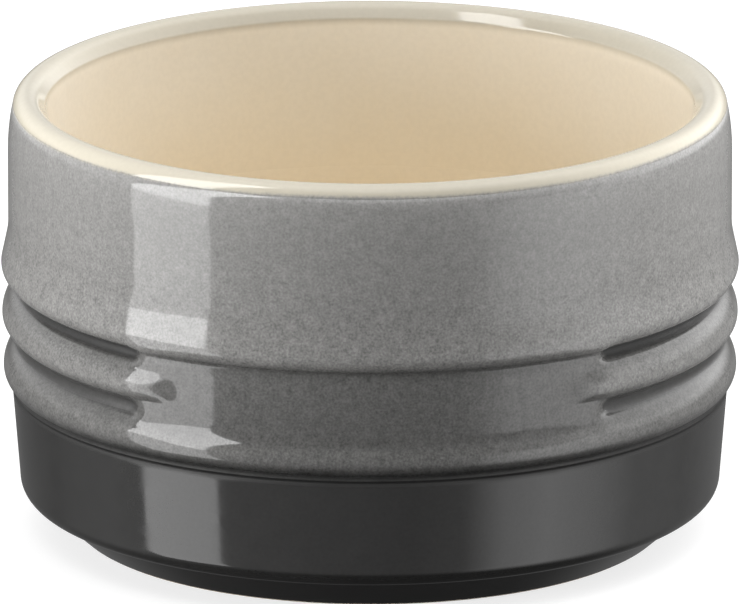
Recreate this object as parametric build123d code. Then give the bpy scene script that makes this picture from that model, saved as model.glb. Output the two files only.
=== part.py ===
from build123d import *
import os
from math import acos, asin, atan2, cos, degrees, hypot, radians, sin, sqrt

# A round stackable ramekin of glazed stoneware, in millimetres, with +Z up.
# The origin is the centre of the foot ring on the surface that it stands on.
# The bare panel between the ends of the middle ring faces -Y.

# Overall sizes of the glazed pot
ring_diameter = 90.0
height = 54.5
wall_thickness = 4.57
floor_thickness = 5.4
glaze_thickness = 0.35
bond_gap = 0.03

# The upper ring's crest as a share of the height, and how far below it the lower ring's crest is
upper_ring_share = 0.611
ring_zone_height = 13.0

# The middle ring and the two grooves, as shares of the way up from the lower ring to the upper one
lower_groove_share = 0.292
middle_ring_share = 0.542
upper_groove_share = 0.81

# How far each of them lies inside the largest radius, the grooves and the panel as shares of the zone
middle_ring_inset = 0.1
lower_ring_inset = 0.25
lower_groove_depth_share = 0.154
upper_groove_depth_share = 0.173
panel_depth_share = 0.107

# The part that one of the two rounds of each flank takes of both together
upper_groove_round_share = 0.29
lower_groove_round_share = 0.26
middle_ring_round_share = 0.67
upper_blend_crest_share = 0.32
crease_round_share = 0.18
panel_edge_round_share = 0.5

# The panel that interrupts the middle ring, as the angle from its middle to each ring end
panel_half_angle = 39.0
panel_edge_share = 0.1

# The upper wall, its shoulder and the full-round crown of the rim
upper_wall_inset = 0.88
upper_blend_height = 5.4
shoulder_radius = 26.0
shoulder_angle = 12.5
crown_round_share = 0.394
crown_inner_slope = 50.0
rim_edge_round_share = 0.11

# The smooth lower wall below the rings
crease_drop = 2.45
crease_inset = 1.3
lower_wall_draft = 4.6
corner_round = 2.4

# The cavity
cavity_draft = 1.2
cavity_corner_round = 9.0

# The foot ring and the recess inside it
foot_height = 4.0
foot_shelf = 0.05
foot_flank_run = 4.82
foot_contact_width = 2.6
foot_edge_round = 0.8
foot_fillet = 0.3
foot_inner_slope = 60.0
recess_height = 2.6
bare_foot_height = 0.12

# How far below the top the cream glaze changes to grey on the outside
colour_line_drop = 1.6

# Radii and heights that follow from the sizes above
ring_radius = ring_diameter / 2
upper_wall_radius = ring_radius - upper_wall_inset
mouth_radius = upper_wall_radius - wall_thickness
crown_round = crown_round_share * wall_thickness
rim_edge_round = rim_edge_round_share * wall_thickness
middle_ring_radius = ring_radius - middle_ring_inset
lower_ring_radius = ring_radius - lower_ring_inset
lower_groove_radius = ring_radius - lower_groove_depth_share * ring_zone_height
upper_groove_radius = ring_radius - upper_groove_depth_share * ring_zone_height
panel_radius = ring_radius - panel_depth_share * ring_zone_height
crease_radius = ring_radius - crease_inset
upper_ring_height = upper_ring_share * height
lower_ring_height = upper_ring_height - ring_zone_height
lower_groove_height = lower_ring_height + lower_groove_share * ring_zone_height
middle_ring_height = lower_ring_height + middle_ring_share * ring_zone_height
upper_groove_height = lower_ring_height + upper_groove_share * ring_zone_height
crease_height = lower_ring_height - crease_drop
colour_line_height = height - colour_line_drop
floor_height = recess_height + floor_thickness

# Surfaces that run inside the clay, used to tell the coats apart
wall_middle_radius = (mouth_radius + crease_radius) / 2
floor_middle_height = (foot_height + floor_height) / 2


class Round:
    """An arc of the section between two angles in degrees, bulging out of the pot when convex."""

    def __init__(self, centre, radius, start, end, convex):
        self.centre = centre
        self.radius = radius
        self.start = start
        self.end = end
        self.convex = convex

    def inset_radius(self, inset):
        return self.radius - inset if self.convex else self.radius + inset

    def point(self, angle, inset):
        return toward(self.centre, self.inset_radius(inset), angle)

    def edge(self, inset):
        return CenterArc(self.centre, self.inset_radius(inset), self.start, self.end - self.start)


def toward(centre, distance, angle):
    return (centre[0] + distance * cos(radians(angle)), centre[1] + distance * sin(radians(angle)))


def both_rounds(crest, low):
    """The sum of the two rounds of a flank from a crest to a low point, each a radius and a height."""
    depth = crest[0] - low[0]
    rise = low[1] - crest[1]
    return (rise ** 2 + depth ** 2) / (2 * depth)


def flank(crest, low, crest_round):
    """Two tangent arcs between a crest and the low point beside it, in order of rising height."""
    both = both_rounds(crest, low)
    low_round = both - crest_round
    turn = degrees(acos((both - crest[0] + low[0]) / both))
    crest_centre = (crest[0] - crest_round, crest[1])
    low_centre = (low[0] + low_round, low[1])
    if low[1] > crest[1]:
        return [
            Round(crest_centre, crest_round, 0, turn, True),
            Round(low_centre, low_round, 180 + turn, 180, False),
        ]
    return [
        Round(low_centre, low_round, 180, 180 - turn, False),
        Round(crest_centre, crest_round, -turn, 0, True),
    ]


def shared_flank(crest, low, low_share):
    """A flank whose low round is a share of both its rounds together."""
    return flank(crest, low, (1 - low_share) * both_rounds(crest, low))


def crease_and_ring():
    """The crease at the top of the lower wall and the underside of the lowest ring."""
    crest = (lower_ring_radius, lower_ring_height)
    rounds = shared_flank(crest, (crease_radius, crease_height), crease_round_share)
    rounds[0].start = 180 - lower_wall_draft
    return rounds


def upper_ring():
    """The upper ring, from the groove below it to the plain upper wall."""
    crest = (ring_radius, upper_ring_height)
    groove = (upper_groove_radius, upper_groove_height)
    wall = (upper_wall_radius, upper_ring_height + upper_blend_height)
    rounds = shared_flank(crest, groove, upper_groove_round_share)
    return rounds + shared_flank(crest, wall, 1 - upper_blend_crest_share)


def middle_ring_round():
    """The round of the middle ring's crest, the same on both sides of it."""
    middle = (middle_ring_radius, middle_ring_height)
    below = both_rounds(middle, (lower_groove_radius, lower_groove_height))
    above = both_rounds(middle, (upper_groove_radius, upper_groove_height))
    return middle_ring_round_share * min(below, above)


def ringed_rounds():
    """The three rings with the two grooves between them."""
    lower = (lower_ring_radius, lower_ring_height)
    lower_groove = (lower_groove_radius, lower_groove_height)
    middle = (middle_ring_radius, middle_ring_height)
    upper_groove = (upper_groove_radius, upper_groove_height)
    rounds = crease_and_ring()
    rounds += shared_flank(lower, lower_groove, lower_groove_round_share)
    rounds += flank(middle, lower_groove, middle_ring_round())
    rounds += flank(middle, upper_groove, middle_ring_round())
    return rounds + upper_ring()


def panel_rounds():
    """The rings where the flat panel takes the place of the middle one."""
    lower = (lower_ring_radius, lower_ring_height)
    both = both_rounds(lower, (lower_groove_radius, lower_groove_height))
    drop = lower_ring_radius - panel_radius
    bottom = (panel_radius, lower_ring_height + sqrt(2 * both * drop - drop ** 2))
    top = (panel_radius, upper_groove_height - panel_edge_share * ring_zone_height)
    upper_groove = (upper_groove_radius, upper_groove_height)
    rounds = crease_and_ring()
    rounds += shared_flank(lower, bottom, lower_groove_round_share)
    rounds += shared_flank(top, upper_groove, panel_edge_round_share)
    return rounds + upper_ring()


def normal_part(centre, angle):
    return centre[0] * cos(radians(angle)) + centre[1] * sin(radians(angle))


def tangent_radius(level, angle, centre_height):
    """The radius of a centre at a known height whose part along the angle's direction is level."""
    return (level - centre_height * sin(radians(angle))) / cos(radians(angle))


def corner_above_foot():
    """The rounded bottom corner of the lower wall, tangent to the drafted wall and the shelf."""
    crease = crease_and_ring()[0]
    level = normal_part(crease.centre, -lower_wall_draft) - crease.radius - corner_round
    centre_height = foot_height + corner_round
    centre = (tangent_radius(level, -lower_wall_draft, centre_height), centre_height)
    return Round(centre, corner_round, -90, -lower_wall_draft, True)


def contact_radii(corner):
    """The inner and outer radius of the flat ring that the pot stands on."""
    outer = corner.centre[0] - foot_shelf - foot_flank_run
    return outer - foot_contact_width, outer


def foot_rounds(corner):
    """The foot ring, from the recess inside it to the shelf under the wall's corner."""
    contact_inner, contact_outer = contact_radii(corner)
    inner_normal = 270 - foot_inner_slope
    inner_centre = (contact_inner, bare_foot_height + foot_edge_round)
    inner = Round(inner_centre, foot_edge_round, inner_normal, 270, True)
    recess_centre_height = recess_height - foot_fillet
    level = normal_part(inner_centre, inner_normal) + foot_edge_round + foot_fillet
    recess_centre = (tangent_radius(level, inner_normal, recess_centre_height), recess_centre_height)
    recess = Round(recess_centre, foot_fillet, 90, inner_normal - 180, False)

    outer_centre = (contact_outer, bare_foot_height + foot_edge_round)
    shelf_centre = (corner.centre[0] - foot_shelf, foot_height - foot_fillet)
    run = shelf_centre[0] - outer_centre[0]
    rise = shelf_centre[1] - outer_centre[1]
    slope = degrees(atan2(rise, run) + asin((foot_edge_round + foot_fillet) / hypot(run, rise)))
    outer = Round(outer_centre, foot_edge_round, 270, 270 + slope, True)
    shelf = Round(shelf_centre, foot_fillet, 90 + slope, 90, False)
    return [recess, inner, outer, shelf]


def rim_rounds():
    """The shoulder, the full-round crown and the small inner edge of the rim."""
    lean = shoulder_radius * (1 - cos(radians(shoulder_angle)))
    crown_radius = upper_wall_radius - lean - crown_round * cos(radians(shoulder_angle))
    crown_centre = (crown_radius, height - crown_round)
    shoulder_centre = toward(crown_centre, crown_round - shoulder_radius, shoulder_angle)
    shoulder = Round(shoulder_centre, shoulder_radius, 0, shoulder_angle, True)
    slope_normal = 90 + crown_inner_slope
    crown = Round(crown_centre, crown_round, shoulder_angle, slope_normal, True)

    edge_radius = mouth_radius + rim_edge_round
    level = normal_part(crown_centre, slope_normal) + crown_round - rim_edge_round
    edge_height = (level - edge_radius * cos(radians(slope_normal))) / sin(radians(slope_normal))
    edge = Round((edge_radius, edge_height), rim_edge_round, slope_normal, 180 - cavity_draft, True)
    return [shoulder, crown, edge]


def cavity_corner(edge):
    """The round between the cavity's wall and its floor, run from the wall down to the floor."""
    normal = 180 - cavity_draft
    level = normal_part(edge.centre, normal) + edge.radius + cavity_corner_round
    centre_height = floor_height + cavity_corner_round
    centre = (tangent_radius(level, normal, centre_height), centre_height)
    return Round(centre, cavity_corner_round, -cavity_draft, -90, False)


def pot_section(side_rounds, inset):
    """Half of the pot's section, with every surface moved into the wall by the inset."""
    corner = corner_above_foot()
    rim = rim_rounds()
    rounds = foot_rounds(corner) + [corner] + side_rounds + rim + [cavity_corner(rim[-1])]
    bottom_centre = (0, recess_height + inset)
    floor_centre = (0, floor_height - inset)
    edges = []
    here = bottom_centre
    for item in rounds:
        there = item.point(item.start, inset)
        if hypot(there[0] - here[0], there[1] - here[1]) > glaze_thickness / 1000:
            edges.append(Line(here, there))
        edges.append(item.edge(inset))
        here = item.point(item.end, inset)
    edges.append(Line(here, floor_centre))
    edges.append(Line(floor_centre, bottom_centre))
    return make_face(edges)


def spun(face, start, turn):
    """A section turned about the pot's axis, from a start angle that is measured from +X."""
    return Rot(0, 0, start) * revolve(Plane.XZ * face, Axis.Z, turn)


def ring_end(angle, inset, turn):
    """Half a ball that ends the middle ring, turned so that it bulges to the panel's side."""
    ball_round = middle_ring_round() - inset
    disc = Circle(ball_round) & Pos(ball_round, 0) * Rectangle(2 * ball_round, 2 * ball_round)
    half_ball = spun(disc, turn, 180)
    line_radius = middle_ring_radius - middle_ring_round()
    return Rot(0, 0, angle) * Pos(line_radius, 0, middle_ring_height) * half_ball


def pot(inset):
    """The whole pot with all its surfaces moved in by the inset."""
    left = -90 - panel_half_angle
    right = -90 + panel_half_angle
    whole = spun(pot_section(ringed_rounds(), inset), right, 360 - 2 * panel_half_angle)
    whole += spun(pot_section(panel_rounds(), inset), left, 2 * panel_half_angle)
    whole += ring_end(right, inset, 180)
    whole += ring_end(left, inset, 0)
    return whole


def tube(inner_radius, outer_radius, low, high):
    """A plain round tube between two heights, or a disc where the inner radius is zero."""
    wide = Cylinder(outer_radius, high - low, align=(Align.CENTER, Align.CENTER, Align.MIN))
    if inner_radius > 0:
        wide -= Cylinder(inner_radius, high - low, align=(Align.CENTER, Align.CENTER, Align.MIN))
    return Pos(0, 0, low) * wide


def stoneware_body():
    """The fired clay under the glaze, with the bare ring that it stands on."""
    contact_inner, contact_outer = contact_radii(corner_above_foot())
    contact_top = bare_foot_height + glaze_thickness + foot_edge_round
    return pot(glaze_thickness) + tube(contact_inner, contact_outer, 0, contact_top)


def coats():
    """The four coats of glaze, as what is left of the glazed pot when the clay is taken away."""
    contact_inner, contact_outer = contact_radii(corner_above_foot())
    contact = tube(contact_inner - bond_gap, contact_outer + bond_gap, -foot_height, foot_height)
    glaze = pot(0) - pot(glaze_thickness - bond_gap) - contact
    outside = ring_diameter
    above = 2 * height
    below = -foot_height
    inner = tube(0, wall_middle_radius, floor_middle_height, above)
    top = tube(0, outside, colour_line_height, above)
    lower_wall = tube(wall_middle_radius, outside, floor_middle_height, crease_height)
    foot = tube(contact_inner, outside, below, floor_middle_height)
    return {
        "liner_glaze": glaze & (inner + top),
        "upper_outer_glaze": glaze & tube(wall_middle_radius, outside, crease_height, colour_line_height),
        "lower_outer_glaze": glaze & (lower_wall + foot),
        "base_glaze": glaze & tube(0, contact_inner, below, floor_middle_height),
    }


parts = {"stoneware_body": stoneware_body()}
parts.update(coats())

os.makedirs("parts", exist_ok=True)
for name, shape in parts.items():
    box = shape.bounding_box()
    print(name, round(shape.volume, 1), box.min, box.max)
    assert shape.is_valid and len(shape.solids()) == 1, name + " isn't one sound solid"
    export_step(shape, "parts/" + name + ".step")
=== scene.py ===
import bpy
import math
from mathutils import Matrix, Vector


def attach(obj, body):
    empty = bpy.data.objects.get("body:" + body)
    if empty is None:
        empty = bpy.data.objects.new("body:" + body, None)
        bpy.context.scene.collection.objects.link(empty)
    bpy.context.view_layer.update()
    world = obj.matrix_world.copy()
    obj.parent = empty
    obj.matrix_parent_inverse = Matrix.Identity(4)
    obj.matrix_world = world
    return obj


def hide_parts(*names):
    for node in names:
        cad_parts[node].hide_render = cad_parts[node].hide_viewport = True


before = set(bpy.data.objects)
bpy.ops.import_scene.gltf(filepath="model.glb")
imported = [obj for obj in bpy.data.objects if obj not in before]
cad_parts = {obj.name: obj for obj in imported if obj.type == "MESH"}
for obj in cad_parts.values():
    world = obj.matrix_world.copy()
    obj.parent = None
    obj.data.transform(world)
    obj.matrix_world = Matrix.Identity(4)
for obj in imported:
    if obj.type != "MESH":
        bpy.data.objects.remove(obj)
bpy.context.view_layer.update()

mm = 0.001

# The glazed pot's outline, the same sizes as the solids
ring_radius = 45.0 * mm
height = 54.5 * mm
skin = 0.3 * mm
upper_ring_height = 33.3 * mm
upper_groove_height = 30.83 * mm
middle_ring_height = 26.95 * mm
lower_groove_height = 24.08 * mm
lower_ring_height = 20.3 * mm
middle_ring_radius = ring_radius - 0.1 * mm
lower_ring_radius = ring_radius - 0.25 * mm
upper_groove_radius = ring_radius - 2.25 * mm
lower_groove_radius = ring_radius - 2.0 * mm
panel_radius = ring_radius - 1.39 * mm
upper_groove_round = 0.72 * mm
middle_ring_upper_foot_round = 0.74 * mm
middle_ring_lower_foot_round = 1.25 * mm
lower_groove_round = 1.3 * mm
crease_round = 1.1 * mm
crease_height = lower_ring_height - 2.45 * mm
crease_radius = ring_radius - 1.3 * mm
wall_radius = ring_radius - 0.88 * mm
upper_blend_height = 5.4 * mm
upper_blend_foot_round = 10.5 * mm
upper_crest_round = 1.5 * mm
panel_edge_drop = 1.3 * mm
panel_edge_round = 1.0 * mm
panel_groove_depth = 0.12 * mm
panel_end_lift = 0.5 * mm
panel_lift_start = 27.0
panel_foot_rise = 3.4 * mm
panel_foot_round = 2.8 * mm

# The ends of the middle ring beside the panel
ring_end_angle = 40.0
ring_end_length = 6.6 * mm
ring_end_toe = 0.5 * mm
ring_end_bulge = 9.0 * mm
ring_end_edge = 0.2
groove_end_angle = 39.9
groove_end_reach = 1.4 * mm
groove_end_bulge = 3.0 * mm

# The shoulder, crown and inner edge
shoulder_radius = 26.0 * mm
shoulder_angle = 12.5
crown_round = 1.8 * mm
crown_slope_normal = 140.0
rim_edge_round = 0.5 * mm
mouth_radius = 39.55 * mm
cavity_draft = 1.2
cavity_corner_round = 9.0 * mm
floor_height = 8.0 * mm

# The lower wall, corner and foot
wall_draft = 4.6
corner_round = 2.4 * mm
foot_height = 4.0 * mm
foot_shelf = 0.05 * mm
foot_flank_run = 4.82 * mm
foot_contact_width = 2.6 * mm
foot_edge_round = 0.8 * mm
foot_fillet = 0.3 * mm
foot_edge_overrun = 3.0
foot_inner_normal = 210.0
recess_height = 2.6 * mm
bare_foot_height = 0.12 * mm

# Where the outer coat and the inner one meet, and where the cream has given way to grey
colour_line_height = 52.9 * mm
cream_line_height = 53.2 * mm

# Mesh fineness; anything nearer to the axis than on_axis counts as lying on it
turns = 576
arc_step = 3.0
zone_step = 0.13 * mm
line_step = 1.5 * mm
shortest_line = line_step / 10
fewest_arc_steps = 2
fewest_line_steps = 3
least_round = 0.1 * mm
on_axis = 1e-9


def on_circle(centre, radius, angle):
    turn = math.radians(angle)
    return (centre[0] + radius * math.cos(turn), centre[1] + radius * math.sin(turn))


def arc(centre, radius, start, end):
    """Points along an arc, both ends included."""
    count = max(fewest_arc_steps, math.ceil(abs(end - start) / arc_step))
    return [on_circle(centre, radius, start + (end - start) * i / count) for i in range(count + 1)]


def joined(*runs):
    """Runs of points in a row, with the straight stretches between them divided evenly."""
    points = list(runs[0])
    for run in runs[1:]:
        a = points[-1]
        b = run[0]
        length = math.dist(a, b)
        if length > shortest_line:
            count = max(fewest_line_steps, math.ceil(length / line_step))
            for i in range(1, count):
                t = 0.5 - 0.5 * math.cos(math.pi * i / count)
                points.append((a[0] + (b[0] - a[0]) * t, a[1] + (b[1] - a[1]) * t))
            points.append(b)
        points.extend(run[1:])
    return points


def flank_radius(z, crest, low, low_round):
    """The radius at one height on the two tangent arcs between a crest and a low point."""
    depth = crest[0] - low[0]
    rise = abs(low[1] - crest[1])
    both = (rise ** 2 + depth ** 2) / (2 * depth)
    crest_round = both - low_round
    from_crest = min(abs(z - crest[1]), rise)
    if from_crest <= crest_round * rise / both:
        return crest[0] - crest_round + math.sqrt(crest_round ** 2 - from_crest ** 2)
    return low[0] + low_round - math.sqrt(max(low_round ** 2 - (rise - from_crest) ** 2, 0))


def sloped_radius(z, crest, foot, crest_round, foot_round):
    """The radius at one height on a crest's arc, the slope beside it and the hollow arc at its foot."""
    both = crest_round + foot_round
    across = both - (crest[0] - foot[0])
    rise = foot[1] - crest[1]
    slope = math.atan2(rise, across) - math.acos(both / math.hypot(across, rise))
    up = z - crest[1]
    if up <= crest_round * math.sin(slope):
        return crest[0] - crest_round + math.sqrt(crest_round ** 2 - up ** 2)
    down = foot[1] - z
    if down <= foot_round * math.sin(slope):
        return foot[0] + foot_round - math.sqrt(foot_round ** 2 - max(down, 0) ** 2)
    start = crest[0] - crest_round * (1 - math.cos(slope))
    return start - (up - crest_round * math.sin(slope)) * math.tan(slope)


lower_crest = (lower_ring_radius, lower_ring_height)
middle_crest = (middle_ring_radius, middle_ring_height)
upper_crest = (ring_radius, upper_ring_height)
crease = (crease_radius, crease_height)
lower_groove = (lower_groove_radius, lower_groove_height)
upper_groove = (upper_groove_radius, upper_groove_height)
wall_foot = (wall_radius, upper_ring_height + upper_blend_height)
panel_top = (panel_radius, upper_groove_height - panel_edge_drop)
panel_groove = (panel_radius - panel_groove_depth, upper_groove_height)
panel_foot = (panel_radius, lower_ring_height + panel_foot_rise)


def ringed_radius(z):
    """The outside of the pot where all three rings run."""
    if z < lower_crest[1]:
        return flank_radius(z, lower_crest, crease, crease_round)
    if z < lower_groove[1]:
        return flank_radius(z, lower_crest, lower_groove, lower_groove_round)
    if z < middle_crest[1]:
        return flank_radius(z, middle_crest, lower_groove, middle_ring_lower_foot_round)
    if z < upper_groove[1]:
        return flank_radius(z, middle_crest, upper_groove, middle_ring_upper_foot_round)
    if z < upper_crest[1]:
        return flank_radius(z, upper_crest, upper_groove, upper_groove_round)
    return sloped_radius(z, upper_crest, wall_foot, upper_crest_round, upper_blend_foot_round)


def panel_side_radius(z):
    """The outside of the pot where the panel takes the middle ring's place, between the two other rings."""
    if z < panel_foot[1]:
        return flank_radius(z, lower_crest, panel_foot, panel_foot_round)
    if z < panel_top[1]:
        return panel_radius
    if z < panel_groove[1]:
        return flank_radius(z, panel_top, panel_groove, panel_edge_round)
    return flank_radius(z, upper_crest, panel_groove, upper_groove_round)


def ease(low, high, value):
    t = min(max((value - low) / (high - low), 0), 1)
    return t * t * (3 - 2 * t)


def panel_lift(angle_from_front, z):
    """How much the panel's two ends stand out, as the panel is a little flatter than the pot is round."""
    sideways = ease(panel_lift_start, ring_end_angle, angle_from_front)
    upwards = ease(lower_crest[1], panel_foot[1], z) * (1 - ease(panel_groove[1], upper_crest[1], z))
    return panel_end_lift * sideways * upwards


def ramp_down(share):
    """From 0 to 1 along an even slope that is rounded at both ends."""
    edge = ring_end_edge
    share = min(max(share, 0.0), 1.0)
    if share < edge:
        return share ** 2 / (2 * edge * (1 - edge))
    if share > 1 - edge:
        return 1 - (1 - share) ** 2 / (2 * edge * (1 - edge))
    return (share - edge / 2) / (1 - edge)


def outside_radius(angle_from_front, z):
    """The outside's radius at an angle from the panel's middle in degrees, and a height in the ring zone."""
    whole = ringed_radius(z)
    if z <= lower_crest[1] or z >= upper_crest[1]:
        return whole
    panel = panel_side_radius(z) + panel_lift(angle_from_front, z)
    if whole > panel:
        beyond = math.radians(ring_end_angle - angle_from_front) * ring_radius
        beyond += (z - middle_crest[1]) ** 2 / ring_end_bulge
        fallen = ramp_down(beyond / ring_end_length)
        proud = whole - panel
        return panel + proud * (1 - fallen) * proud / (proud + ring_end_toe * fallen)
    beyond = math.radians(groove_end_angle - angle_from_front) * ring_radius
    nearest = upper_groove[1] if z > middle_crest[1] else lower_groove[1]
    beyond += (z - nearest) ** 2 / groove_end_bulge
    return whole + (panel - whole) * ease(-groove_end_reach, groove_end_reach, beyond)


def tangent_radius(level, normal, centre_height):
    """Where an arc's centre lies if it has this height and this level along the normal."""
    return (level - centre_height * math.sin(math.radians(normal))) / math.cos(math.radians(normal))


def level_of(centre, normal):
    """How far out a point lies along a normal, whose angle is counted up from the horizontal."""
    return centre[0] * math.cos(math.radians(normal)) + centre[1] * math.sin(math.radians(normal))


crown_centre = (
    wall_radius - shoulder_radius * (1 - math.cos(math.radians(shoulder_angle)))
    - crown_round * math.cos(math.radians(shoulder_angle)),
    height - crown_round,
)
shoulder_centre = on_circle(crown_centre, crown_round - shoulder_radius, shoulder_angle)
colour_line_angle = math.degrees(math.asin((colour_line_height - crown_centre[1]) / crown_round))
crease_centre = (crease_radius + crease_round, crease_height)
corner_centre = (
    tangent_radius(
        level_of(crease_centre, -wall_draft) - crease_round - corner_round,
        -wall_draft,
        foot_height + corner_round,
    ),
    foot_height + corner_round,
)
contact_outer = corner_centre[0] - foot_shelf - foot_flank_run
contact_inner = contact_outer - foot_contact_width


def wall_and_shoulder(inset):
    """The plain upper wall above the ring zone, up to the colour line on the crown."""
    shoulder = arc(shoulder_centre, shoulder_radius - inset, 0, shoulder_angle)
    crown = arc(crown_centre, crown_round - inset, shoulder_angle, max(colour_line_angle, shoulder_angle))
    return joined([(wall_radius - inset, wall_foot[1])], shoulder, crown)


def liner_line(inset):
    """From the colour line over the crown and down the cavity to the middle of its floor."""
    crown = arc(crown_centre, crown_round - inset, colour_line_angle, crown_slope_normal)
    edge_round = max(rim_edge_round - inset, least_round)
    edge_level = level_of(crown_centre, crown_slope_normal) + crown_round - rim_edge_round
    edge_radius = mouth_radius + rim_edge_round
    edge_rise = edge_level - edge_radius * math.cos(math.radians(crown_slope_normal))
    edge_centre = (edge_radius, edge_rise / math.sin(math.radians(crown_slope_normal)))
    edge = arc(edge_centre, edge_round, crown_slope_normal, 180 - cavity_draft)
    normal = 180 - cavity_draft
    level = level_of(edge_centre, normal) + rim_edge_round + cavity_corner_round
    corner_height = floor_height + cavity_corner_round
    centre = (tangent_radius(level, normal, corner_height), corner_height)
    corner = arc(centre, cavity_corner_round + inset, -cavity_draft, -90)
    return joined(crown, edge, corner, [(0, floor_height - inset)])


def lower_line(inset):
    """From the crease down the lower wall, round the corner and down the foot's flank to the bare ring."""
    crease_arc = arc(crease_centre, crease_round + inset, 180, 180 - wall_draft)
    corner = arc(corner_centre, corner_round - inset, -wall_draft, -90)
    outer_centre = (contact_outer, bare_foot_height + foot_edge_round)
    shelf_centre = (corner_centre[0] - foot_shelf, foot_height - foot_fillet)
    run = shelf_centre[0] - outer_centre[0]
    rise = shelf_centre[1] - outer_centre[1]
    lean = math.asin((foot_edge_round + foot_fillet) / math.hypot(run, rise))
    slope = math.degrees(math.atan2(rise, run) + lean)
    shelf = arc(shelf_centre, foot_fillet + inset, 90, 90 + slope)
    outer = arc(outer_centre, foot_edge_round - inset, 270 + slope, 270 + foot_edge_overrun)
    return joined(crease_arc, corner, shelf, outer)


def base_line(inset):
    """From the bare ring up the inside of the foot and across the recess."""
    inner_centre = (contact_inner, bare_foot_height + foot_edge_round)
    recess_rise = recess_height - foot_fillet
    level = level_of(inner_centre, foot_inner_normal) + foot_edge_round + foot_fillet
    recess_centre = (tangent_radius(level, foot_inner_normal, recess_rise), recess_rise)
    inner = arc(inner_centre, foot_edge_round - inset, 270 - foot_edge_overrun, foot_inner_normal)
    recess = arc(recess_centre, foot_fillet + inset, foot_inner_normal - 180, 90)
    return joined(inner, recess, [(0, recess_height + inset)])


def piece_from_rings(name, rings):
    """A closed mesh from loops of points, one loop per step round the axis; points on the axis are shared."""
    steps = len(rings)
    size = len(rings[0])
    vertices = []
    index = []
    shared = {}
    for step in range(steps):
        turn = 2 * math.pi * step / steps
        row = []
        for k in range(size):
            r, z = rings[step][k]
            if r < on_axis:
                if k not in shared:
                    shared[k] = len(vertices)
                    vertices.append((0, 0, z))
                row.append(shared[k])
            else:
                row.append(len(vertices))
                vertices.append((r * math.sin(turn), -r * math.cos(turn), z))
        index.append(row)
    faces = []
    for step in range(steps):
        here = index[step]
        there = index[(step + 1) % steps]
        for k in range(size):
            n = (k + 1) % size
            corners = []
            for v in (here[k], there[k], there[n], here[n]):
                if v not in corners:
                    corners.append(v)
            if len(corners) > 2:
                faces.append(corners)
    mesh = bpy.data.meshes.new(name)
    mesh.from_pydata(vertices, [], faces)
    mesh.polygons.foreach_set("use_smooth", [True] * len(mesh.polygons))
    mesh.validate()
    mesh.update()
    piece = bpy.data.objects.new(name, mesh)
    bpy.context.scene.collection.objects.link(piece)
    return piece


def turned_piece(name, line, steps):
    """A coat that is the same all round: its outer line, and the same line one skin further in."""
    loop = line(0) + list(reversed(line(skin)))
    return piece_from_rings(name, [loop] * steps)


def upper_coat():
    """The grey coat with the rings and the panel; its inner face is half as fine upwards."""
    count = math.ceil((wall_foot[1] - crease_height) / zone_step)
    levels = [crease_height + (wall_foot[1] - crease_height) * i / count for i in range(count)]
    outer_wall = wall_and_shoulder(0)
    inner_wall = list(reversed(wall_and_shoulder(skin)))
    inner_levels = list(reversed(levels[::2]))
    back = [(ringed_radius(z), z) for z in levels]
    back_inner = [(ringed_radius(z) - skin, z) for z in inner_levels]
    reach = ring_end_angle + math.degrees(3 * groove_end_reach / ring_radius)
    rings = []
    for step in range(turns):
        angle = 360 * step / turns
        from_front = min(angle, 360 - angle)
        if from_front > reach:
            rings.append(back + outer_wall + inner_wall + back_inner)
            continue
        front = [(outside_radius(from_front, z), z) for z in levels]
        front_inner = [(outside_radius(from_front, z) - skin, z) for z in inner_levels]
        rings.append(front + outer_wall + inner_wall + front_inner)
    return piece_from_rings("upper_outer_coat", rings)


class Nodes:
    """A small helper that adds and links shader nodes of one material or world."""

    # Where a Mix node keeps its two colours and its result
    colour_a = 6
    colour_b = 7
    colour_out = 2

    def __init__(self, tree):
        self.tree = tree
        tree.nodes.clear()

    def add(self, kind, inputs=None):
        node = self.tree.nodes.new(kind)
        for key, value in (inputs or {}).items():
            self.set(node.inputs[key], value)
        return node

    def set(self, socket, value):
        if isinstance(value, bpy.types.NodeSocket):
            self.tree.links.new(value, socket)
        else:
            socket.default_value = value

    def math(self, operation, a, b=0.0, clamp=False):
        node = self.tree.nodes.new("ShaderNodeMath")
        node.operation = operation
        node.use_clamp = clamp
        self.set(node.inputs[0], a)
        self.set(node.inputs[1], b)
        return node.outputs[0]

    def ranged(self, value, from_low, from_high, to_low=0.0, to_high=1.0, smooth=True):
        node = self.tree.nodes.new("ShaderNodeMapRange")
        node.interpolation_type = "SMOOTHSTEP" if smooth else "LINEAR"
        node.clamp = True
        for key, item in zip(range(5), (value, from_low, from_high, to_low, to_high)):
            self.set(node.inputs[key], item)
        return node.outputs[0]

    def mixed(self, share, a, b, blend="MIX"):
        node = self.tree.nodes.new("ShaderNodeMix")
        node.data_type = "RGBA"
        node.blend_type = blend
        self.set(node.inputs[0], share)
        self.set(node.inputs[self.colour_a], a)
        self.set(node.inputs[self.colour_b], b)
        return node.outputs[self.colour_out]

    def ramp(self, value, stops):
        node = self.tree.nodes.new("ShaderNodeValToRGB")
        self.set(node.inputs[0], value)
        elements = node.color_ramp.elements
        while len(elements) < len(stops):
            elements.new(0.5)
        for element, (place, colour) in zip(elements, stops):
            element.position = place
            element.color = (*colour, 1.0)
        return node.outputs[0]

    def noise(self, place, scale, detail=2.0, roughness=0.5):
        return self.add(
            "ShaderNodeTexNoise", {"Vector": place, "Scale": scale, "Detail": detail, "Roughness": roughness}
        ).outputs["Fac"]

    def grey(self, tone):
        return self.add("ShaderNodeCombineColor", {0: tone, 1: tone, 2: tone}).outputs[0]


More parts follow.
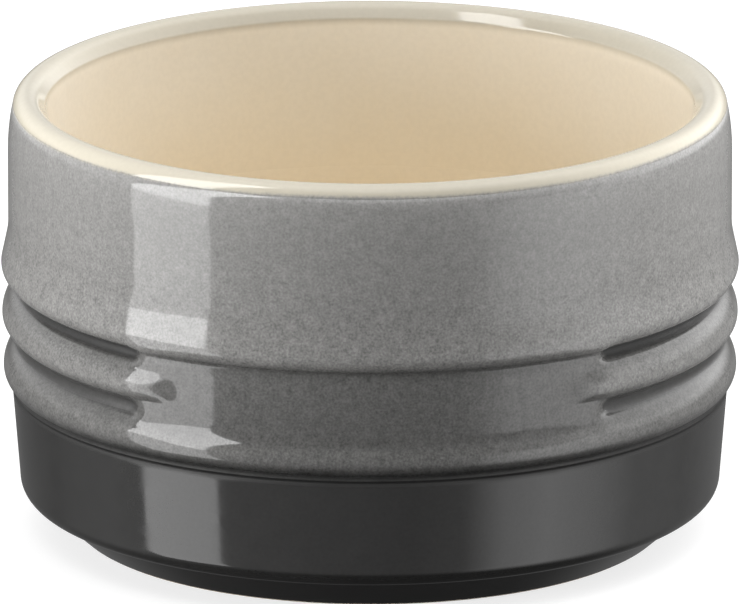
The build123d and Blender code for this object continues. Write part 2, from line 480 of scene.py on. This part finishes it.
def placed(nodes):
    """The place on the object, its height and its distance from the axis."""
    place = nodes.add("ShaderNodeTexCoord").outputs["Object"]
    parts = nodes.add("ShaderNodeSeparateXYZ", {"Vector": place})
    across = nodes.math("POWER", parts.outputs["X"], 2.0)
    along = nodes.math("POWER", parts.outputs["Y"], 2.0)
    reach = nodes.math("SQRT", nodes.math("ADD", across, along))
    return place, parts.outputs["Z"], reach


# Colours as linear values
cream = (0.89, 0.85, 0.77)
# The deeper, warmer cream is painted shade and bounce-light warmth low in the bowl, and random drifts of tone
# lean towards it too
cream_drift_and_bowl_shade = (0.84, 0.715, 0.51)
# The crown's darker grey cream is partly its greyer glaze and partly painted shade on its up-facing top
crown_grey_and_shade = (0.53, 0.49, 0.40)
charcoal = (0.018, 0.0177, 0.0173)
clay_dark = (0.30, 0.245, 0.185)
clay_pale = (0.50, 0.43, 0.34)

# Grey of the outer coat, from the crease up, as a height in millimetres and a linear value
grey_fade = [
    (17.85, 0.028), (18.7, 0.055), (19.6, 0.10), (21.5, 0.15), (27.0, 0.18), (33.0, 0.21), (37.0, 0.205),
    (39.0, 0.21), (42.0, 0.225), (45.0, 0.228), (48.3, 0.232), (51.5, 0.245), (53.2, 0.28),
]
# Glaze gathers in the hollows of the ring zone, and painted shade darkens them too, the more the nearer they
# lie to the axis: millimetres from the axis, and a share of the grey
pooling_and_shade = [(42.8, 0.07), (43.3, 0.32), (43.62, 0.56), (44.2, 0.62), (44.65, 0.86), (44.9, 1.0)]
pooling_and_shade_low = 42.5
pooling_and_shade_high = 45.0
fade_low = 17.0
fade_high = 54.0
grey_tint = (1.0, 0.985, 0.955)
# Heights between which the pooled glaze and painted shade of the ring zone fade out upwards
pooling_and_shade_whole = 31.8 * mm
pooling_and_shade_gone = 33.8 * mm
fade_wander = 1.2 * mm

# Speckle of the grey coat, stronger at the rings than under the rim
ring_speckle = 2.2
rim_speckle = 1.2
speckle_low = 30.0 * mm
speckle_high = 50.0 * mm
fine_share = 0.7

# The cream has painted shade and bounce-light warmth, darkest and warmest low in the bowl, and is darker on
# the crown, partly its greyer glaze and partly painted shade
bowl_shade_full_height = 12.0 * mm
bowl_shade_end_height = 50.0 * mm
deepest_bowl_shade = 0.85
drift_share = 0.35
crown_start = 51.8 * mm
crown_full = 53.2 * mm
cream_grain = 0.015

# The line where cream gives way to grey, and the radii between which the inside ends
line_wave = 0.8 * mm
line_ripple = 0.45 * mm
line_softness = 0.3 * mm
inner_side = 41.3 * mm
outer_side = 42.0 * mm

# Gloss: rougher where the glaze has gathered, in the grooves and in the crease
hollow_roughness = 0.5
hollow_radius = 42.9 * mm
raised_radius = 43.5 * mm
ring_zone_bottom = (16.2 * mm, 17.4 * mm)
ring_zone_top = (33.0 * mm, 35.0 * mm)
crease_roughness = 0.45
crease_reach = (0.2 * mm, 1.1 * mm)
grey_roughness = 0.07
charcoal_roughness = 0.09
relief_height = 0.02 * mm
ripple_share = 0.12

# Waves per metre of the noises
cloud_scale = 180.0
fine_scale = 3300.0
coarse_scale = 900.0
drift_scale = 60.0
cream_grain_scale = 1500.0
line_wave_scale = 45.0
line_ripple_scale = 2300.0
gloss_scale = 400.0
relief_scale = 220.0
relief_ripple_scale = 1300.0
charcoal_cloud_scale = 300.0
charcoal_grain_scale = 2300.0
sand_scale = 1800.0
clay_patch_scale = 150.0


def grey_colour(nodes, place, z, reach):
    """Pale grey under the rim fading to mid grey at the rings and charcoal at the crease, finely speckled;
    the hollows of the ring zone are darkened by pooled glaze and by painted shade.
    """
    cloud = nodes.noise(place, cloud_scale, 3.0)
    wander = nodes.math("MULTIPLY", nodes.math("SUBTRACT", cloud, 0.5), fade_wander)
    wandered = nodes.math("ADD", z, wander)
    share = nodes.ranged(wandered, fade_low * mm, fade_high * mm, smooth=False)
    stops = []
    for level, grey in grey_fade:
        stops.append(((level - fade_low) / (fade_high - fade_low), tuple(grey * tint for tint in grey_tint)))
    fade = nodes.ramp(share, stops)
    # Pooled glaze and painted shade: below the top ring, the nearer the surface lies to the axis, the darker
    # the grey, so grooves, panel and ring flanks come out darker
    depth = nodes.ranged(reach, pooling_and_shade_low * mm, pooling_and_shade_high * mm, smooth=False)
    stops = []
    for level, tone in pooling_and_shade:
        stops.append(((level - pooling_and_shade_low) / (pooling_and_shade_high - pooling_and_shade_low), (tone, tone, tone)))
    in_zone = nodes.ranged(z, pooling_and_shade_whole, pooling_and_shade_gone, 1.0, 0.0)
    shaded = nodes.mixed(in_zone, fade, nodes.ramp(depth, stops), "MULTIPLY")
    fine = nodes.math("MULTIPLY", nodes.noise(place, fine_scale, 2.0, 0.6), fine_share)
    coarse = nodes.math("MULTIPLY", nodes.noise(place, coarse_scale, 2.0, 0.5), 1 - fine_share)
    grain = nodes.math("ADD", fine, coarse)
    strength = nodes.ranged(z, speckle_low, speckle_high, ring_speckle, rim_speckle)
    swing = nodes.math("MULTIPLY", nodes.math("SUBTRACT", grain, 0.5), strength)
    return nodes.mixed(1.0, shaded, nodes.grey(nodes.math("ADD", swing, 1.0)), "MULTIPLY")


def cream_colour(nodes, place, z):
    """Warm cream with slow drifts of tone, with painted shade and bounce-light warmth low in the bowl, and
    darker on the crown, partly greyer glaze and partly painted shade.
    """
    drift = nodes.noise(place, drift_scale, 3.0)
    # Painted shade and bounce-light warmth: the cream turns darker and warmer towards the bottom of the bowl
    depth = nodes.ranged(z, bowl_shade_full_height, bowl_shade_end_height, deepest_bowl_shade, 0.0)
    share = nodes.math("ADD", nodes.math("MULTIPLY", drift, drift_share), depth, clamp=True)
    base = nodes.mixed(share, (*cream, 1), (*cream_drift_and_bowl_shade, 1))
    # Partly greyer glaze and partly painted shade: the crown's top is darkened
    base = nodes.mixed(nodes.ranged(z, crown_start, crown_full), base, (*crown_grey_and_shade, 1))
    fine = nodes.noise(place, cream_grain_scale, 2.0)
    tone = nodes.ranged(fine, 0.3, 0.7, 1 - cream_grain, 1 + cream_grain)
    return nodes.mixed(1.0, base, nodes.grey(tone), "MULTIPLY")


def rim_line(nodes, place, z, reach):
    """How cream the outside is: 1 above the slightly wavy colour line and 0 below it."""
    wave = nodes.math("SUBTRACT", nodes.noise(place, line_wave_scale, 1.0), 0.5)
    wave = nodes.math("MULTIPLY", wave, line_wave)
    ripple = nodes.math("SUBTRACT", nodes.noise(place, line_ripple_scale, 2.0, 0.6), 0.5)
    ripple = nodes.math("MULTIPLY", ripple, line_ripple)
    shifted = nodes.math("ADD", z, nodes.math("ADD", wave, ripple))
    above = nodes.ranged(shifted, cream_line_height - line_softness, cream_line_height + line_softness)
    inside = nodes.ranged(reach, inner_side, outer_side, 1.0, 0.0)
    return nodes.math("MAXIMUM", above, inside)


def glaze(name, colour_of, roughness):
    """A glossy fired glaze: its colour from the place on the pot, a fine uneven gloss and a slow wave."""
    material = bpy.data.materials.new(name)
    material.use_nodes = True
    nodes = Nodes(material.node_tree)
    place, z, reach = placed(nodes)
    colour = colour_of(nodes, place, z, reach)
    patches = nodes.noise(place, gloss_scale, 3.0)
    gloss = nodes.ranged(patches, 0.3, 0.7, roughness * 0.8, roughness * 1.3)
    pooled = nodes.ranged(reach, hollow_radius, raised_radius, hollow_roughness, 0.0)
    in_rings = nodes.ranged(z, *ring_zone_top, 1.0, 0.0)
    low_end = nodes.ranged(z, *ring_zone_bottom)
    softer = nodes.math("MULTIPLY", nodes.math("MULTIPLY", pooled, in_rings), low_end)
    from_crease = nodes.math("ABSOLUTE", nodes.math("SUBTRACT", z, crease_height))
    in_crease = nodes.ranged(from_crease, *crease_reach, crease_roughness, 0.0)
    gloss = nodes.math("ADD", gloss, nodes.math("MAXIMUM", softer, in_crease))
    wave = nodes.noise(place, relief_scale, 1.0)
    ripple = nodes.math("MULTIPLY", nodes.noise(place, relief_ripple_scale, 1.0), ripple_share)
    relief = nodes.math("ADD", wave, ripple)
    bump = nodes.add("ShaderNodeBump", {"Strength": 0.25, "Distance": relief_height, "Height": relief})
    shader = nodes.add(
        "ShaderNodeBsdfPrincipled",
        {"Base Color": colour, "Roughness": gloss, "IOR": 1.5, "Normal": bump.outputs[0]},
    )
    output = nodes.add("ShaderNodeOutputMaterial")
    nodes.set(output.inputs["Surface"], shader.outputs[0])
    return material


def outer_colour(nodes, place, z, reach):
    grey = grey_colour(nodes, place, z, reach)
    return nodes.mixed(rim_line(nodes, place, z, reach), grey, cream_colour(nodes, place, z))


def charcoal_colour(nodes, place, z, reach):
    """Even charcoal with faint clouds and grain; it takes the same arguments as outer_colour."""
    cloud = nodes.math("MULTIPLY", nodes.noise(place, charcoal_cloud_scale, 3.0), 0.4)
    fine = nodes.math("MULTIPLY", nodes.noise(place, charcoal_grain_scale, 2.0), 0.5)
    tone = nodes.math("ADD", nodes.math("ADD", cloud, fine), 0.55)
    return nodes.mixed(1.0, nodes.grey(tone), (*charcoal, 1), "MULTIPLY")


def bare_clay():
    """Matt fired clay with sandy grain, seen only on the ring that the pot stands on."""
    material = bpy.data.materials.new("stoneware")
    material.use_nodes = True
    nodes = Nodes(material.node_tree)
    place = nodes.add("ShaderNodeTexCoord").outputs["Object"]
    grain = nodes.noise(place, sand_scale, 4.0, 0.7)
    patch = nodes.noise(place, clay_patch_scale, 3.0)
    share = nodes.math("ADD", nodes.math("MULTIPLY", grain, 0.7), nodes.math("MULTIPLY", patch, 0.3))
    colour = nodes.ramp(share, [(0.3, clay_dark), (0.7, clay_pale)])
    bump = nodes.add("ShaderNodeBump", {"Strength": 0.6, "Distance": 0.08 * mm, "Height": grain})
    rough = nodes.ranged(grain, 0.3, 0.7, 0.75, 0.92)
    shader = nodes.add(
        "ShaderNodeBsdfPrincipled", {"Base Color": colour, "Roughness": rough, "Normal": bump.outputs[0]}
    )
    output = nodes.add("ShaderNodeOutputMaterial")
    nodes.set(output.inputs["Surface"], shader.outputs[0])
    return material


outer_glaze = glaze("outer_glaze", outer_colour, grey_roughness)
dark_glaze = glaze("charcoal_glaze", charcoal_colour, charcoal_roughness)


def dress(piece, node, material):
    """Gives a piece its material, hangs it under the root body and hides the solid that it stands for."""
    piece.data.materials.clear()
    piece.data.materials.append(material)
    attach(piece, "root")
    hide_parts(node)


dress(turned_piece("liner_coat", liner_line, turns), "liner_glaze", outer_glaze)
dress(upper_coat(), "upper_outer_glaze", outer_glaze)
dress(turned_piece("lower_outer_coat", lower_line, turns), "lower_outer_glaze", dark_glaze)
dress(turned_piece("base_coat", base_line, turns // 2), "base_glaze", dark_glaze)

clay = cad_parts["stoneware_body"]
clay.data.materials.clear()
clay.data.materials.append(bare_clay())


# The stage: a pale floor that shows white to the camera and keeps the pot's shadow
floor_radius = 2.5
floor_sides = 64
floor_glow = 0.72
floor_shade = 0.42


def stage_floor():
    """A round floor that glows to the camera alone, so that it is white but still shows the shadow."""
    ring = []
    for i in range(floor_sides):
        turn = 2 * math.pi * i / floor_sides
        ring.append((floor_radius * math.cos(turn), floor_radius * math.sin(turn), 0))
    mesh = bpy.data.meshes.new("floor")
    mesh.from_pydata(ring, [], [list(range(floor_sides))])
    floor = bpy.data.objects.new("floor", mesh)
    bpy.context.scene.collection.objects.link(floor)
    material = bpy.data.materials.new("floor")
    material.use_nodes = True
    nodes = Nodes(material.node_tree)
    paper = nodes.add("ShaderNodeBsdfDiffuse", {"Color": (floor_shade, floor_shade, floor_shade, 1)})
    seen = nodes.add("ShaderNodeLightPath").outputs["Is Camera Ray"]
    strength = nodes.math("MULTIPLY", seen, floor_glow)
    glow = nodes.add("ShaderNodeEmission", {"Color": (1, 1, 1, 1), "Strength": strength})
    both = nodes.add("ShaderNodeAddShader", {0: paper.outputs[0], 1: glow.outputs[0]})
    output = nodes.add("ShaderNodeOutputMaterial")
    nodes.set(output.inputs["Surface"], both.outputs[0])
    floor.data.materials.append(material)
    floor.visible_diffuse = False
    floor.visible_glossy = False
    floor.visible_shadow = False


stage_floor()


lamp_distance = 0.60


def soft_box(name, azimuth, width, low, high, radiance, shines=True, reflects=True):
    """An upright lamp that faces the pot's axis; azimuth 0 is in front of it and 90 is to its right."""
    a = math.radians(azimuth)
    away = Vector((math.sin(a), -math.cos(a), 0))
    tall = high - low
    lamp = bpy.data.lights.new(name, "AREA")
    lamp.shape = "RECTANGLE"
    lamp.size = width
    lamp.size_y = tall
    lamp.energy = radiance * math.pi * width * tall
    holder = bpy.data.objects.new(name, lamp)
    holder.location = away * lamp_distance + Vector((0, 0, (low + high) / 2))
    holder.rotation_euler = away.to_track_quat("Z", "Y").to_euler()
    holder.visible_camera = False
    holder.visible_diffuse = shines
    holder.visible_glossy = reflects
    bpy.context.scene.collection.objects.link(holder)


# A hard-edged box on the left with its mirror image in the floor, and low fills that only light the walls
box_azimuth = -64
box_width = 0.30
box_low = 0.037
box_high = 0.20
box_radiance = 7.6
box_top = 1.40
mirror_low = -0.44
mirror_radiance = 3.1
fill_high = 0.08
fill_radiance = 25.0
soft_box("left_box", box_azimuth, box_width, box_low, box_high, box_radiance)
soft_box("left_top", box_azimuth, box_width, box_high, box_top, box_radiance, shines=False)
soft_box("left_mirror", box_azimuth, box_width, mirror_low, box_low, mirror_radiance, shines=False)
soft_box("left_fill", -70, 0.55, 0.0, fill_high, fill_radiance, reflects=False)
soft_box("right_fill", 94, 0.65, 0.0, fill_high, fill_radiance, reflects=False)

# The studio all round as an angle from the front towards the right, and a brightness
low_ring = [
    (-180, 0.15), (-128, 0.2), (-96, 0.58), (-50, 0.6), (0, 0.48), (14, 0.43), (32, 0.6), (46, 1.9),
    (62, 2.3), (80, 1.6), (98, 0.7), (125, 0.32), (180, 0.15),
]
high_ring = [
    (-180, 0.9), (-130, 1.2), (-98, 1.1), (-80, 0.45), (0, 0.22), (40, 0.28), (62, 0.9), (90, 1.8),
    (140, 2.6), (165, 1.2), (180, 0.8),
]
overhead = 2.15
underneath = 0.06
floor_light = 0.24
world_strength = 4.0

# Degrees above the horizon between which one part of the studio gives way to the next
low_to_high = (-4, 14)
high_to_overhead = (45, 75)
underneath_to_low = (-55, -30)


def studio_grey(brightness):
    """A brightness as a colour of the world, which is drawn at its full strength."""
    level = brightness / world_strength
    return (level, level, level)


def blended_upwards(nodes, up, span, lower, upper):
    """One colour below a span of angles, another above it, and both mixed within it."""
    low, high = span
    return nodes.mixed(nodes.ranged(up, math.radians(low), math.radians(high)), lower, upper)


def studio_world():
    """White to the camera, and a soft studio to everything else, brightest on the right and overhead."""
    world = bpy.data.worlds.new("studio")
    bpy.context.scene.world = world
    world.use_nodes = True
    nodes = Nodes(world.node_tree)
    path = nodes.add("ShaderNodeLightPath")
    way = nodes.add("ShaderNodeTexCoord").outputs["Generated"]
    parts = nodes.add("ShaderNodeSeparateXYZ", {"Vector": way})
    around = nodes.math("ARCTAN2", parts.outputs["X"], nodes.math("MULTIPLY", parts.outputs["Y"], -1.0))
    share = nodes.ranged(around, -math.pi, math.pi, smooth=False)
    up = nodes.math("ARCSINE", parts.outputs["Z"])
    rings = []
    for ring in (low_ring, high_ring):
        stops = [((angle + 180) / 360, studio_grey(brightness)) for angle, brightness in ring]
        rings.append(nodes.ramp(share, stops))
    low = nodes.mixed(path.outputs["Is Glossy Ray"], (*studio_grey(floor_light), 1), rings[0])
    level = blended_upwards(nodes, up, low_to_high, low, rings[1])
    level = blended_upwards(nodes, up, high_to_overhead, level, (*studio_grey(overhead), 1))
    level = blended_upwards(nodes, up, underneath_to_low, (*studio_grey(underneath), 1), level)
    soft = nodes.add("ShaderNodeBackground", {"Color": level, "Strength": world_strength})
    white = nodes.add("ShaderNodeBackground", {"Color": (1, 1, 1, 1), "Strength": 1.0})
    both = nodes.add(
        "ShaderNodeMixShader", {0: path.outputs["Is Camera Ray"], 1: soft.outputs[0], 2: white.outputs[0]}
    )
    output = nodes.add("ShaderNodeOutputWorld")
    nodes.set(output.inputs["Surface"], both.outputs[0])


studio_world()

# The camera stands where the photograph was taken from
camera_distance = 2.5
camera_elevation = 16.07
aim_height = 26.5 * mm
aim_lift = 1.247 * mm
lens_length = 996.1
sensor_width = 36.0

elevation = math.radians(camera_elevation)
back = Vector((0, -math.cos(elevation), math.sin(elevation)))
upward = Vector((0, math.sin(elevation), math.cos(elevation)))
camera = bpy.data.objects.new("camera", bpy.data.cameras.new("camera"))
camera.data.sensor_width = sensor_width
camera.data.lens = lens_length
camera.data.clip_start = 0.1
camera.data.clip_end = 20.0
camera.location = Vector((0, 0, aim_height)) + upward * aim_lift + back * camera_distance
camera.rotation_euler = back.to_track_quat("Z", "Y").to_euler()
bpy.context.scene.collection.objects.link(camera)
bpy.context.scene.camera = camera
bpy.context.scene.view_settings.view_transform = "Standard"
